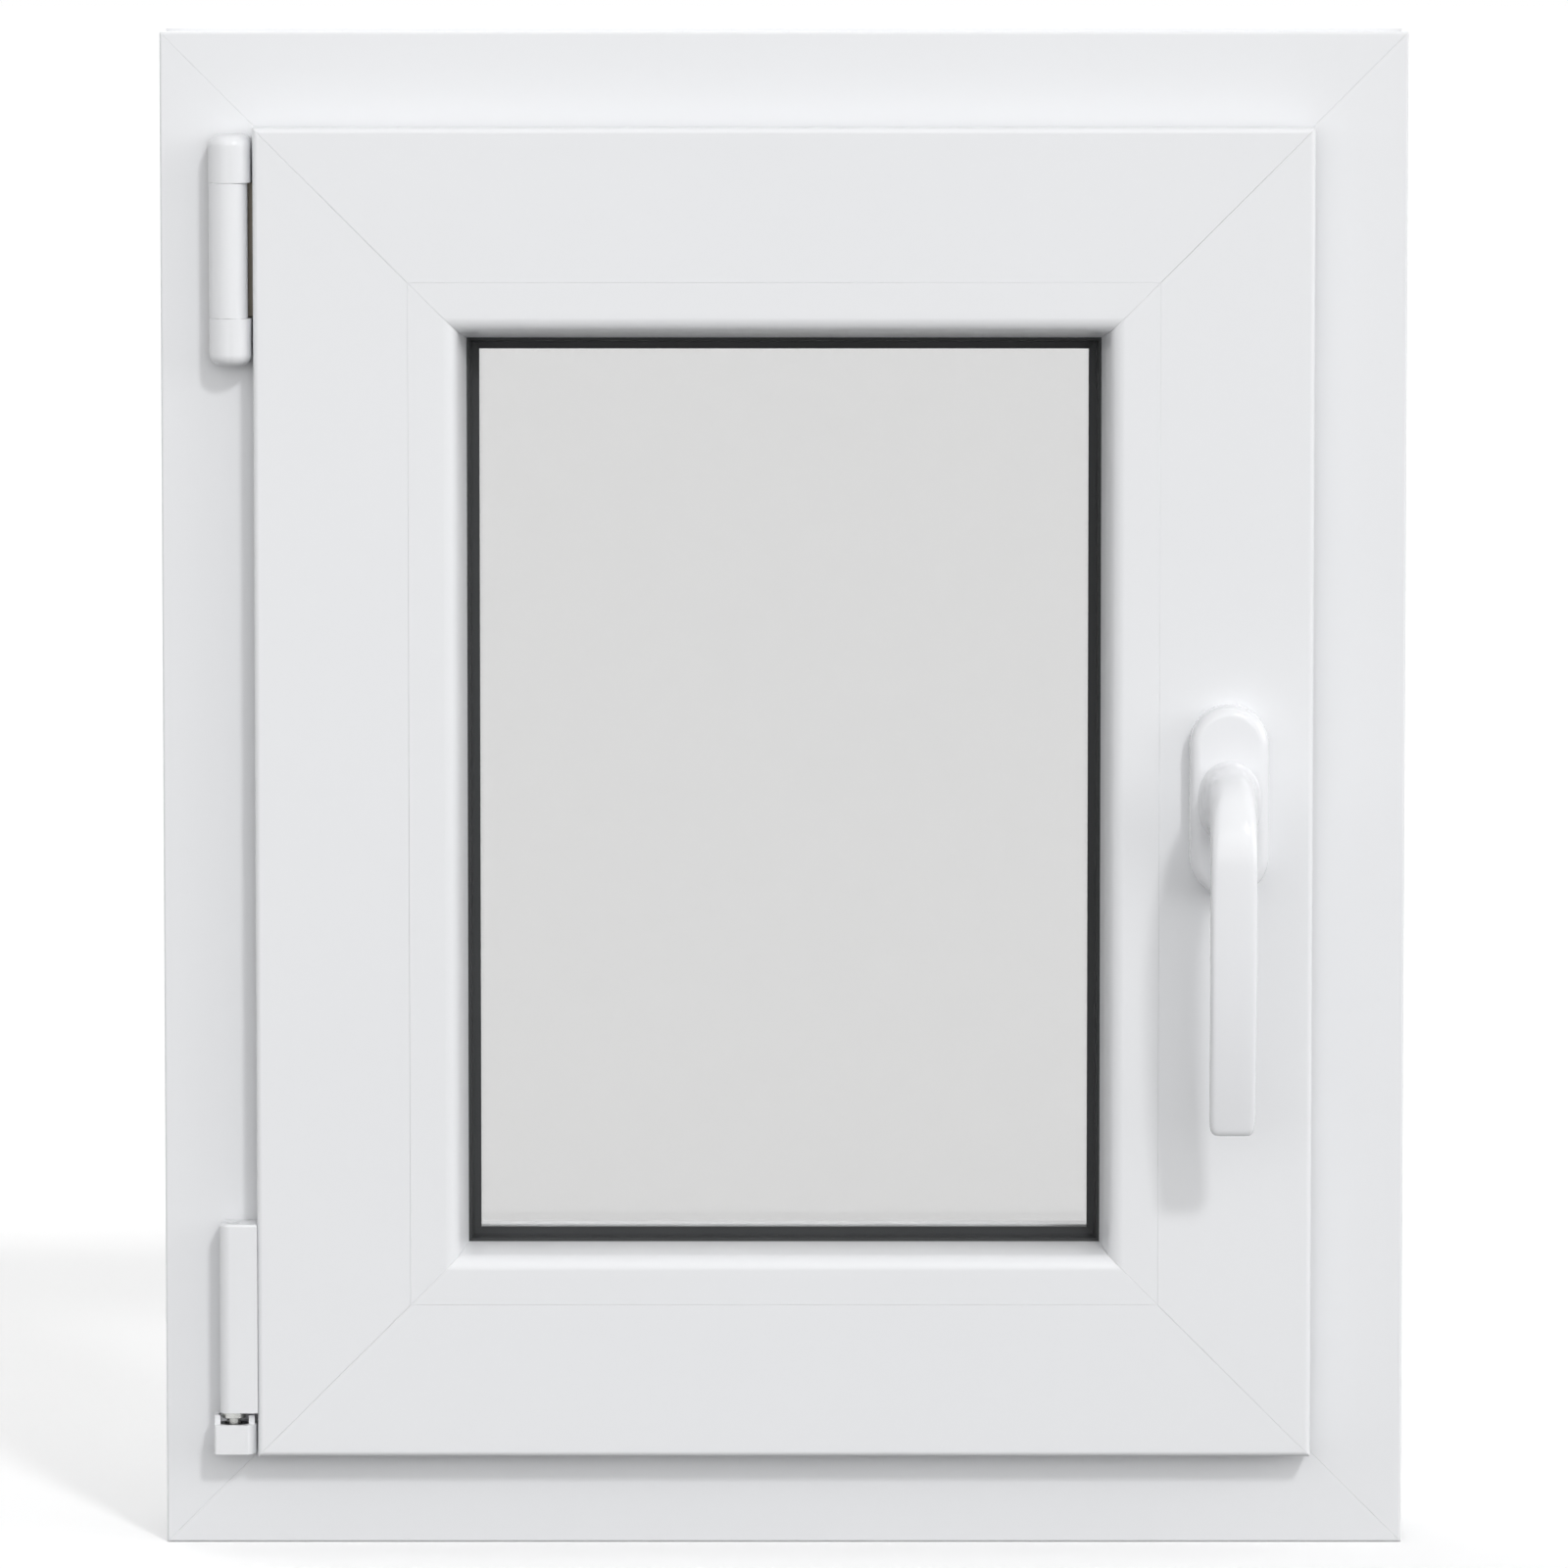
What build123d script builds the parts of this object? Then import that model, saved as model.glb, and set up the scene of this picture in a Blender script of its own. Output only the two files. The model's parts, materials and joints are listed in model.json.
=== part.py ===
from build123d import *

import os
from math import acos, cos, pi, radians, sin, sqrt, tan

os.makedirs("parts", exist_ok=True)

# White tilt-and-turn window, seen from the room along +Y. X is to the right, Z is up, and the
# origin is under the middle of the frame. Y is 0 on the frame's room face and grows outdoors.

# Overall sizes
frame_width = 450.0
frame_height = 550.0
frame_depth = 70.0

# Frame profile: u runs from the outer edge inwards, v from the room face outdoors
frame_face = 42.0
leg_reach = 64.0
leg_depth = 16.0
profile_wall = 2.8
outer_lip = 4.0
outer_groove = 3.0
outer_groove_end = 45.0
front_chamber = 5.0
edge_round = 2.0
small_round = 1.0

# Sash profile: s runs from the sash's outer edge inwards
sash_margin = 34.0
sash_proud = 16.0
flange_thick = 12.0
flange_width = 18.0
sash_rear = 50.0
bead_line = 55.5
glazing_leg = 78.0
glazing_leg_depth = 12.0
groove_depth = 10.0
groove_front = 6.0
groove_wide = 16.0

# Glazing bead, panes and gaskets
sight_line = 76.3
bead_corner = 72.7
bead_round = 5.7
bead_edge_depth = 19.0
bead_joint = 0.08
joint_round = 0.2
pane_thick = 4.0
cavity = 16.0
gasket_thick = 3.0
gasket_lip = 4.4
lip_root = 1.7
lip_rise = 3.0
pane_edge_gap = 5.0
spacer_inset = 5.0
spacer_tall = 6.5
block_length = 60.0

# Steel reinforcement
steel_wall = 1.5
steel_clear = 0.5
steel_end_gap = 10.0

# Seals
seal_base = 3.0
seal_gap = 0.8

# Hinge axis, and the lower ball pivot
hinge_gap = 9.0
hinge_proud = 9.5
barrel_r = 7.0
nose_clear = 0.7
cap_dome = 4.2
pin_r = 3.0
eye_r = 4.6
running_clear = 0.05
part_clear = 0.4
upper_hinge_drop = 36.5
upper_hinge_tall = 83.2
lower_cap_tall = 17.0
upper_cap_tall = 17.3
bracket_plate = 2.0
tilt_height = 42.0
ball_r = 4.0
ball_stem_r = 2.5
cup_r = 5.6
cup_mouth_r = 3.3
block_low = 34.8
block_tall = 10.7
block_left = 6.8
block_front = 6.8
swing_clear = 0.4
block_clear = 0.5
cheek_tall = 3.2
cheek_wide = 2.1
cheek_inset = 0.8
cheek_deep = 7.0
sleeve_low = 49.8
sleeve_tall = 69.1
sleeve_left = 4.8
sleeve_front = 6.3
sleeve_round = 4.2
stem_tall = 34.0
collar_r = 4.3
collar_tall = 2.3
strap_thick = 2.0
strap_wide = 4.3
strap_margin = 6.0

# Stay arm
stay_plate = 2.2
stay_lift = 4.6
stay_thick = 2.5
stay_wide = 14.0
stay_reach = 200.0
stay_pin_inset = 8.0
stay_pin_depth = 6.0
stay_slot_clear = 1.3
stay_slide = 8.0
stay_guide_long = 34.0

# Handle
handle_drop = 1.0
rosette_wide = 28.6
rosette_tall = 69.0
rosette_deep = 11.0
cover_wall = 2.2
base_thick = 6.0
screw_spacing = 43.0
lever_wide = 16.6
lever_long = 117.0
lever_top = 11.0
lever_front = 58.0
lever_thick = 11.0
lever_end_thick = 8.5
lever_drop = 10.0
lever_bend = 40.0
lever_edge = 3.5
neck_r = 10.4
neck_tall = 13.5
neck_gap = 0.2
neck_lift = 0.3
spindle_side = 7.0
spindle_in_lever = 14.0

# Gearbox, drive rod, cams and keeps
gear_module = 1.0
gear_teeth = 15
pressure_angle = 20.0
dedendum = 1.25
tooth_clear = 0.12
pinion_wide = 8.0
hub_r = 6.0
gear_wall = 1.6
rod_thick = 2.5
rod_clear = 0.15
rack_back = 1.6
rod_wide = 12.0
plate_thick = 2.0
plate_clear = 0.2
plate_margin = 56.0
plate_screw_inset = 18.0
stay_plate_margin = 23.0
cam_r = 4.0
cam_stem_r = 2.5
cam_reach = 6.5
cam_rise = 71.0
cam_spacing = 130.0
handle_travel = 180.0
keep_end = 18.0
keep_wide = 20.0
keep_base = 2.0
keep_lip = 0.5
keep_lip_wide = 3.0

# Fasteners and fixing holes
screw_r = 1.7
screw_head_r = 2.7
screw_head = 1.2
screw_long = 14.0
strap_screw_long = 8.0
handle_screw_r = 2.5
handle_screw_head_r = 4.4
handle_screw_head = 2.5
handle_screw_long = 14.0
fixing_r = 3.25
fixing_spacing = 250.0
drain_long = 25.0
drain_tall = 5.0
drain_spacing = 240.0
drain_height = 21.0
cut_over = 2.0

# Places worked out from the sizes above
half_width = frame_width / 2
mid_height = frame_height / 2
sash_half = half_width - sash_margin
sash_low = sash_margin
sash_high = frame_height - sash_margin
rebate_depth = frame_depth - leg_depth
flange_rear = flange_thick - sash_proud
hinge_x = -sash_half - hinge_gap
hinge_y = -hinge_proud
upper_hinge_high = frame_height - upper_hinge_drop
upper_hinge_low = upper_hinge_high - upper_hinge_tall
pane_out = sash_rear - glazing_leg_depth - gasket_thick
pane_room = pane_out - 2 * pane_thick - cavity
bead_rear = pane_room - gasket_thick
pane_edge = bead_line + pane_edge_gap
body_edge = sash_half - flange_width
body_top = sash_high - flange_width
rebate_x = half_width - frame_face
groove_mid = groove_front + groove_wide / 2
steel_v0 = profile_wall + front_chamber + profile_wall
pitch_r = gear_module * gear_teeth / 2
tip_r = pitch_r + gear_module
case_r = tip_r + part_clear + gear_wall
rod_inset = flange_width + plate_thick + rod_clear
handle_inset = rod_inset + rack_back + dedendum * gear_module + pitch_r
handle_x = sash_half - handle_inset
handle_height = mid_height - handle_drop
groove_lip = handle_inset + case_r
plate_half = (sash_high - sash_low) / 2 - plate_margin
stay_plate_half = body_edge - stay_plate_margin
cam_height = handle_height + cam_rise
rod_travel = pitch_r * radians(handle_travel)

inward = {
    "bottom": Vector(0, 0, 1),
    "top": Vector(0, 0, -1),
    "left": Vector(1, 0, 0),
    "right": Vector(-1, 0, 0),
}


def keep(builder, name):
    builder.part.label = name
    export_step(builder.part, f"parts/{name}.step")


def box_between(low, high, mode=Mode.ADD):
    # An upright box from its lowest corner to its highest corner
    size = Vector(*high) - Vector(*low)
    with Locations(Vector(*low) + size * 0.5):
        Box(size.X, size.Y, size.Z, mode=mode)


def cut_window(u0, v0, u1, v1, mode=Mode.SUBTRACT):
    # A rectangle between two corners of a profile
    with Locations(((u0 + u1) / 2, (v0 + v1) / 2)):
        Rectangle(u1 - u0, v1 - v0, mode=mode)


def outline(points, rounds=()):
    # A closed profile with some of its corners rounded
    Polygon(*points, align=None)
    for corner, radius in rounds:
        fillet(vertices().sort_by_distance(corner)[0], radius)


def bar_plane(side, half, low, high):
    # Section plane of a bar: local x runs inwards from the outer edge, local y is +Y
    x = {"left": -half, "right": half}.get(side, 0)
    z = {"bottom": low, "top": high}.get(side, (low + high) / 2)
    return Plane(origin=(x, 0, z), x_dir=inward[side], z_dir=inward[side].cross(Vector(0, 1, 0)))


def mitre_planes(side, half, low, high):
    # The two 45 degree planes that end a bar at its corners
    if side in ("bottom", "top"):
        z = low if side == "bottom" else high
        ends = [((end * half, 0, z), Vector(end, 0, 0)) for end in (-1, 1)]
    else:
        x = -half if side == "left" else half
        ends = [((x, 0, low), Vector(0, 0, -1)), ((x, 0, high), Vector(0, 0, 1))]
    return [Plane(origin=corner, z_dir=inward[side] + along) for corner, along in ends]


def mitred_bar(side, profile, half, low, high):
    with BuildPart() as bar:
        with BuildSketch(bar_plane(side, half, low, high)):
            profile()
        extrude(amount=max(half, (high - low) / 2), both=True)
        for plane in mitre_planes(side, half, low, high):
            split(bisect_by=plane, keep=Keep.BOTTOM)
    return bar.part


def square_bar(side, profile, half, low, high, end_gap):
    # A bar with square ends that stop short of the corners
    length = (2 * half if side in ("bottom", "top") else high - low) - 2 * end_gap
    with BuildPart() as bar:
        with BuildSketch(bar_plane(side, half, low, high)):
            profile()
        extrude(amount=length / 2, both=True)
    return bar.part


def mitred_ring(profile, half, low, high):
    bars = [mitred_bar(side, profile, half, low, high) for side in inward]
    with BuildPart() as ring:
        for bar in bars:
            add(bar)
    return ring.part


# Frame: four hollow mitred bars
def frame_profile():
    outline(
        [
            (0, 0),
            (frame_face, 0),
            (frame_face, rebate_depth),
            (leg_reach, rebate_depth),
            (leg_reach, frame_depth),
            (0, frame_depth),
            (0, outer_groove_end),
            (outer_groove, outer_groove_end),
            (outer_groove, outer_lip),
            (0, outer_lip),
        ],
        [((0, 0), small_round), ((frame_face, 0), small_round), ((leg_reach, rebate_depth), small_round)],
    )
    inner = frame_face - profile_wall
    outer = outer_groove + profile_wall
    rear = frame_depth - profile_wall
    steel_v1 = outer_groove_end - profile_wall
    cut_window(outer, profile_wall, inner, profile_wall + front_chamber)
    cut_window(outer, steel_v0, inner, steel_v1)
    cut_window(profile_wall, outer_groove_end, inner, rear)
    cut_window(frame_face, rebate_depth + profile_wall, leg_reach - profile_wall, rear)


def frame_steel_profile():
    u0 = outer_groove + profile_wall + steel_clear
    u1 = frame_face - profile_wall - steel_clear
    v0 = steel_v0 + steel_clear
    v1 = outer_groove_end - profile_wall - steel_clear
    cut_window(u0, v0, u1, v1, mode=Mode.ADD)
    cut_window(u0 + steel_wall, v0 + steel_wall, u1, v1 - steel_wall)


fixing_v = (steel_v0 + outer_groove_end - profile_wall) / 2
frame_names = {"bottom": "sill", "top": "head", "left": "left_jamb", "right": "right_jamb"}

for side, name in frame_names.items():
    raw_bar = mitred_bar(side, frame_profile, half_width, 0, frame_height)
    raw_steel = square_bar(
        side, frame_steel_profile, half_width, 0, frame_height, frame_face + steel_end_gap
    )
    middle = (half_width - frame_face / 2) * (1 if side == "right" else -1)
    jamb_holes = [(middle, fixing_v, mid_height + end * fixing_spacing / 2) for end in (-1, 1)]
    with BuildPart() as frame_bar:
        add(raw_bar)
        if side in ("left", "right"):
            with Locations(jamb_holes):
                Cylinder(fixing_r, frame_face + cut_over, rotation=(0, 90, 0), mode=Mode.SUBTRACT)
        if side == "bottom":
            with Locations([(end * drain_spacing / 2, frame_depth, drain_height) for end in (-1, 1)]):
                Box(drain_long, 2 * (profile_wall + cut_over), drain_tall, mode=Mode.SUBTRACT)
    keep(frame_bar, f"frame_{name}")
    with BuildPart() as frame_steel:
        add(raw_steel)
        if side in ("left", "right"):
            with Locations(jamb_holes):
                Cylinder(fixing_r + steel_clear, frame_face, rotation=(0, 90, 0), mode=Mode.SUBTRACT)
    keep(frame_steel, f"frame_{name}_steel")


# Outer rebate seal on the frame's leg, just short of the sash
def frame_seal_profile():
    u0 = frame_face + flange_width
    outline(
        [
            (u0 - seal_base, rebate_depth),
            (u0 - seal_base, sash_rear + seal_gap),
            (u0 - seal_base / 2, sash_rear + seal_gap),
            (u0, rebate_depth - small_round),
            (u0, rebate_depth),
        ]
    )


raw_seal = mitred_ring(frame_seal_profile, half_width, 0, frame_height)
with BuildPart() as frame_seal:
    add(raw_seal)
keep(frame_seal, "frame_seal")


# Sash: four hollow mitred bars with a hardware groove in their outer edges
def sash_profile():
    leg_front = sash_rear - glazing_leg_depth
    groove_rear = groove_front + groove_wide
    groove_floor = flange_width + groove_depth
    outline(
        [
            (0, -sash_proud),
            (bead_line, -sash_proud),
            (bead_line, leg_front),
            (glazing_leg, leg_front),
            (glazing_leg, sash_rear),
            (flange_width, sash_rear),
            (flange_width, groove_rear),
            (groove_floor, groove_rear),
            (groove_floor, groove_front),
            (flange_width, groove_front),
            (flange_width, flange_rear),
            (0, flange_rear),
        ],
        [
            ((0, -sash_proud), edge_round),
            ((0, flange_rear), small_round),
            ((glazing_leg, leg_front), small_round),
            ((glazing_leg, sash_rear), edge_round),
        ],
    )
    front = profile_wall - sash_proud
    rear = sash_rear - profile_wall
    body = flange_width + profile_wall
    steel_s0 = groove_lip + profile_wall
    steel_s1 = bead_line - profile_wall
    cut_window(profile_wall, front, flange_width, flange_rear - profile_wall)
    cut_window(body, front, groove_lip, groove_front - profile_wall)
    cut_window(body, groove_rear + profile_wall, groove_lip, rear)
    cut_window(groove_floor + profile_wall, groove_front, groove_lip, groove_rear)
    cut_window(steel_s0, front, steel_s1, leg_front - profile_wall)
    cut_window(steel_s0, leg_front, steel_s1, rear)
    cut_window(bead_line, leg_front + profile_wall, glazing_leg - profile_wall, rear)


def sash_steel_profile():
    s0 = groove_lip + profile_wall + steel_clear
    s1 = bead_line - profile_wall - steel_clear
    v0 = profile_wall - sash_proud + steel_clear
    v1 = sash_rear - glazing_leg_depth - profile_wall - steel_clear
    cut_window(s0, v0, s1, v1, mode=Mode.ADD)
    cut_window(s0, v0 + steel_wall, s1 - steel_wall, v1 - steel_wall)


# Gear pocket, spindle hole and handle screw holes of the lock stile
case_half = case_r + gear_wall
spindle_hole_r = spindle_side
handle_screws_at = [handle_height + end * screw_spacing / 2 for end in (-1, 1)]


def lock_stile_cuts():
    box_between(
        (handle_x - case_r - part_clear, groove_front, handle_height - case_half - part_clear),
        (body_edge, groove_front + groove_wide, handle_height + case_half + part_clear),
        mode=Mode.SUBTRACT,
    )
    with Locations((handle_x, (groove_front - sash_proud) / 2, handle_height)):
        Cylinder(spindle_hole_r, groove_front + sash_proud, rotation=(90, 0, 0), mode=Mode.SUBTRACT)
    with Locations([(handle_x, -sash_proud, z) for z in handle_screws_at]):
        hole_deep = 2 * (profile_wall + cut_over)
        Cylinder(handle_screw_r + running_clear, hole_deep, rotation=(90, 0, 0), mode=Mode.SUBTRACT)


sash_names = {"bottom": "bottom_rail", "top": "top_rail", "left": "hinge_stile", "right": "lock_stile"}

for side, name in sash_names.items():
    raw_bar = mitred_bar(side, sash_profile, sash_half, sash_low, sash_high)
    raw_steel = square_bar(
        side, sash_steel_profile, sash_half, sash_low, sash_high, bead_line + steel_end_gap
    )
    with BuildPart() as sash_bar:
        add(raw_bar)
        if side == "right":
            lock_stile_cuts()
    keep(sash_bar, f"sash_{name}")
    with BuildPart() as sash_steel:
        add(raw_steel)
    keep(sash_steel, f"sash_{name}_steel")


# Glazing beads: a flat face, a rounded edge and a steep slope down to the gasket
def bead_profile():
    slope_foot = bead_edge_depth - sash_proud
    outline(
        [
            (bead_line + bead_joint, -sash_proud),
            (bead_corner, -sash_proud),
            (sight_line, slope_foot),
            (sight_line - edge_round, bead_rear),
            (bead_line + bead_joint, bead_rear),
        ],
        [
            ((bead_corner, -sash_proud), bead_round),
            ((bead_line + bead_joint, -sash_proud), joint_round),
        ],
    )
    cut_window(
        bead_line + bead_joint + profile_wall,
        profile_wall - sash_proud,
        bead_corner - profile_wall,
        bead_rear - profile_wall,
    )


for side in inward:
    raw_bead = mitred_bar(side, bead_profile, sash_half, sash_low, sash_high)
    with BuildPart() as bead:
        add(raw_bead)
    keep(bead, f"glazing_bead_{side}")

# Double glazing unit: two panes, a spacer frame and the sealant round its edge
pane_half = sash_half - pane_edge
pane_low = sash_low + pane_edge
pane_high = sash_high - pane_edge
for name, front in (("inner_pane", pane_room), ("outer_pane", pane_out - pane_thick)):
    with BuildPart() as pane:
        box_between((-pane_half, front, pane_low), (pane_half, front + pane_thick, pane_high))
    keep(pane, name)


def spacer_profile():
    s0 = pane_edge + spacer_inset
    cut_window(s0, pane_room + pane_thick, s0 + spacer_tall, pane_out - pane_thick, mode=Mode.ADD)


def sealant_profile():
    s0 = pane_edge
    cut_window(s0, pane_room + pane_thick, s0 + spacer_inset, pane_out - pane_thick, mode=Mode.ADD)


def inner_gasket_profile():
    lip_end = sight_line + gasket_lip
    outline(
        [
            (pane_edge + spacer_inset, bead_rear),
            (sight_line - edge_round, bead_rear),
            (sight_line, bead_edge_depth - sash_proud),
            (sight_line + small_round, bead_edge_depth - sash_proud + small_round / 2),
            (sight_line + lip_root, pane_room - lip_rise),
            (lip_end, pane_room - small_round),
            (lip_end, pane_room),
            (pane_edge + spacer_inset, pane_room),
        ],
        [((sight_line + lip_root, pane_room - lip_rise), edge_round)],
    )


def outer_gasket_profile():
    leg_front = sash_rear - glazing_leg_depth
    cut_window(pane_edge + spacer_inset, pane_out, sight_line - small_round, leg_front, mode=Mode.ADD)


def sash_seal_profile():
    s1 = frame_face - sash_margin
    outline(
        [
            (s1 - seal_base, flange_rear),
            (s1, flange_rear),
            (s1, flange_rear + small_round),
            (s1 - seal_base / 2, -seal_gap),
            (s1 - seal_base, -seal_gap),
        ]
    )


ring_profiles = {
    "spacer_frame": spacer_profile,
    "edge_sealant": sealant_profile,
    "inner_gasket": inner_gasket_profile,
    "outer_gasket": outer_gasket_profile,
}
for name, profile in ring_profiles.items():
    raw_ring = mitred_ring(profile, sash_half, sash_low, sash_high)
    with BuildPart() as ring:
        add(raw_ring)
    keep(ring, name)

# Sash seal, notched where the stay arm passes behind the flange
stay_low = upper_hinge_low + lower_cap_tall
stay_high = upper_hinge_high - upper_cap_tall
stay_z = body_top + stay_lift
raw_seal = mitred_ring(sash_seal_profile, sash_half, sash_low, sash_high)
with BuildPart() as sash_seal:
    add(raw_seal)
    box_between(
        (-sash_half, flange_rear, stay_low - part_clear),
        (-sash_half + flange_width, 0, stay_z + stay_thick + 2 * part_clear),
        mode=Mode.SUBTRACT,
    )
keep(sash_seal, "sash_seal")

# Setting blocks that carry the glass in the sash
block_reach = pane_half - block_length
with BuildPart() as setting_blocks:
    for x in (-block_reach, block_reach):
        for z in (pane_low - pane_edge_gap / 2, pane_high + pane_edge_gap / 2):
            with Locations((x, (pane_room + pane_out) / 2, z)):
                Box(block_length, pane_out - pane_room, pane_edge_gap)
    for x in (-pane_half - pane_edge_gap / 2, pane_half + pane_edge_gap / 2):
        with Locations((x, (pane_room + pane_out) / 2, mid_height)):
            Box(pane_edge_gap, pane_out - pane_room, block_length)
keep(setting_blocks, "setting_blocks")


# Screws: a shank and a flat head, pointing along an axis from the top of the head
def screws(places, axis, shank_r, head_r, head, long):
    with BuildPart() as group:
        for place in places:
            with BuildSketch(Plane(origin=place, z_dir=axis)):
                Circle(head_r)
            extrude(amount=head)
            with BuildSketch(Plane(origin=place, z_dir=axis)):
                Circle(shank_r)
            extrude(amount=long)
    return group.part


# Upper hinge on the frame: a bracket with two knuckles, its pin and two end caps
def knuckle(low, high, bore):
    # A tube on the hinge axis with a web back to the bracket's plate
    with BuildPart() as tube:
        with BuildSketch(Plane.XY.offset(low)):
            with Locations((hinge_x, hinge_y)):
                Circle(eye_r)
            with Locations((hinge_x, hinge_y / 2)):
                Rectangle(eye_r, hinge_proud)
            with Locations((hinge_x, hinge_y)):
                Circle(bore, mode=Mode.SUBTRACT)
        extrude(amount=high - low)
    return tube.part


knuckle_low = (upper_hinge_low + cover_wall, stay_low)
knuckle_high = (stay_high, upper_hinge_high - cover_wall)
bracket_left = hinge_x - barrel_r + part_clear
bracket_mid = (bracket_left + hinge_x - part_clear) / 2
bracket_screws = [(bracket_mid, -bracket_plate, z) for z in (stay_low + barrel_r, stay_high - barrel_r)]
bracket_shanks = screws(bracket_screws, (0, 1, 0), screw_r, screw_head_r, screw_head, screw_long)
knuckles = [knuckle(*knuckle_low, pin_r), knuckle(*knuckle_high, pin_r)]
with BuildPart() as upper_hinge_bracket:
    box_between(
        (bracket_left, -bracket_plate, knuckle_low[0]),
        (hinge_x - part_clear, 0, knuckle_high[1]),
    )
    for tube in knuckles:
        add(tube)
    add(bracket_shanks, mode=Mode.SUBTRACT)
keep(upper_hinge_bracket, "upper_hinge_bracket")

with BuildPart() as upper_hinge_pin:
    with BuildSketch(Plane.XY.offset(knuckle_low[0])):
        with Locations((hinge_x, hinge_y)):
            Circle(pin_r)
    extrude(amount=knuckle_high[1] - knuckle_low[0])
keep(upper_hinge_pin, "upper_hinge_pin")


cap_rear = -bracket_plate - part_clear
cap_right = -sash_half - nose_clear
cap_reach = cap_right - barrel_r - hinge_x


def hinge_cap(low, high, rounded_top):
    # A barrel drawn out towards the sash that runs back to the bracket, domed at one end
    with BuildPart() as cap:
        with BuildSketch(Plane.XY.offset(low)):
            with Locations((hinge_x + cap_reach / 2, hinge_y)):
                SlotCenterToCenter(cap_reach, 2 * barrel_r)
            cut_window(hinge_x - barrel_r, hinge_y, cap_right, cap_rear, mode=Mode.ADD)
        extrude(amount=high - low)
        end = cap.faces().sort_by(Axis.Z)[-1 if rounded_top else 0]
        fillet(end.edges().sort_by(Axis.Y)[:-1], cap_dome)
        box_low = low if rounded_top else low + cover_wall
        box_high = high - cover_wall if rounded_top else high
        with BuildSketch(Plane.XY.offset(box_low)):
            with Locations((hinge_x, hinge_y)):
                Circle(eye_r + running_clear)
            with Locations((hinge_x, hinge_y / 2)):
                Rectangle(eye_r + 2 * running_clear, hinge_proud)
        extrude(amount=box_high - box_low, mode=Mode.SUBTRACT)
    return cap.part


raw_cap = hinge_cap(stay_high, upper_hinge_high, True)
with BuildPart() as upper_hinge_top_cap:
    add(raw_cap)
keep(upper_hinge_top_cap, "upper_hinge_top_cap")

raw_cap = hinge_cap(upper_hinge_low, stay_low, False)
with BuildPart() as upper_hinge_bottom_cap:
    add(raw_cap)
keep(upper_hinge_bottom_cap, "upper_hinge_bottom_cap")

# Stay arm: an eye on the hinge pin, a plate behind the sash flange and a flat bar over the top rail
stay_gap = part_clear / 2
plate_front = (flange_rear - stay_plate) / 2
stay_bar_x = -rebate_x + 2 * part_clear
stay_plate_right = -rebate_x + stay_lift
stay_pin_x = hinge_x + stay_reach - stay_pin_inset
stay_pin_y = groove_mid
with BuildPart() as stay_arm:
    with BuildSketch(Plane.XY.offset(stay_low + stay_gap)):
        with Locations((hinge_x, hinge_y)):
            Circle(eye_r)
        cut_window(hinge_x + part_clear, hinge_y, hinge_x + eye_r, plate_front, mode=Mode.ADD)
        with Locations((hinge_x, hinge_y)):
            Circle(pin_r + running_clear, mode=Mode.SUBTRACT)
    extrude(amount=stay_high - stay_low - 2 * stay_gap)
    box_between(
        (hinge_x + part_clear, plate_front, stay_low + stay_gap),
        (stay_plate_right, plate_front + stay_plate, stay_high - stay_gap),
    )
    box_between(
        (stay_bar_x, plate_front, stay_high - stay_gap),
        (stay_plate_right, plate_front + stay_plate, stay_z + stay_thick),
    )
    box_between(
        (stay_bar_x, plate_front, stay_z),
        (stay_plate_right, groove_mid, stay_z + stay_thick),
    )
    box_between(
        (stay_bar_x, groove_mid - stay_wide / 2, stay_z),
        (hinge_x + stay_reach, groove_mid + stay_wide / 2, stay_z + stay_thick),
    )
    with Locations((stay_pin_x, stay_pin_y, stay_z)):
        Hole(pin_r - small_round)
keep(stay_arm, "stay_arm")

with BuildPart() as stay_sleeve:
    with BuildSketch(Plane.XY.offset(stay_low + stay_gap)):
        with Locations((hinge_x, hinge_y)):
            Circle(barrel_r)
            Circle(eye_r + running_clear, mode=Mode.SUBTRACT)
        cut_window(hinge_x, hinge_y, hinge_x + 2 * barrel_r, 0)
    extrude(amount=stay_high - stay_low - 2 * stay_gap)
keep(stay_sleeve, "stay_sleeve")

with BuildPart() as stay_guide_pin:
    with BuildSketch(Plane.XY.offset(body_top - stay_pin_depth)):
        with Locations((stay_pin_x, stay_pin_y)):
            Circle(pin_r)
    extrude(amount=stay_pin_depth + stay_lift)
    with BuildSketch(Plane.XY.offset(stay_z)):
        with Locations((stay_pin_x, stay_pin_y)):
            Circle(pin_r - small_round)
    extrude(amount=stay_thick)
keep(stay_guide_pin, "stay_guide_pin")


# Stay rail plate and guide block in the top rail's groove
def stay_slot():
    slot_r = pin_r + stay_slot_clear
    with Locations((stay_pin_x, stay_pin_y)):
        SlotCenterToCenter(stay_slide, 2 * slot_r, mode=Mode.SUBTRACT)


plate_y0 = groove_front + plate_clear
plate_y1 = groove_front + groove_wide - plate_clear
with BuildPart() as stay_rail_plate:
    with BuildSketch(Plane.XY.offset(body_top - plate_thick)):
        cut_window(-stay_plate_half, plate_y0, stay_plate_half, plate_y1, mode=Mode.ADD)
        stay_slot()
    extrude(amount=plate_thick)
keep(stay_rail_plate, "stay_rail_plate")

with BuildPart() as stay_guide:
    with BuildSketch(Plane.XY.offset(body_top - groove_depth + plate_clear)):
        guide_end = stay_guide_long / 2
        cut_window(stay_pin_x - guide_end, plate_y0, stay_pin_x + guide_end, plate_y1, mode=Mode.ADD)
        stay_slot()
    extrude(amount=groove_depth - plate_thick - plate_clear)
keep(stay_guide, "stay_guide")

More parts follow.
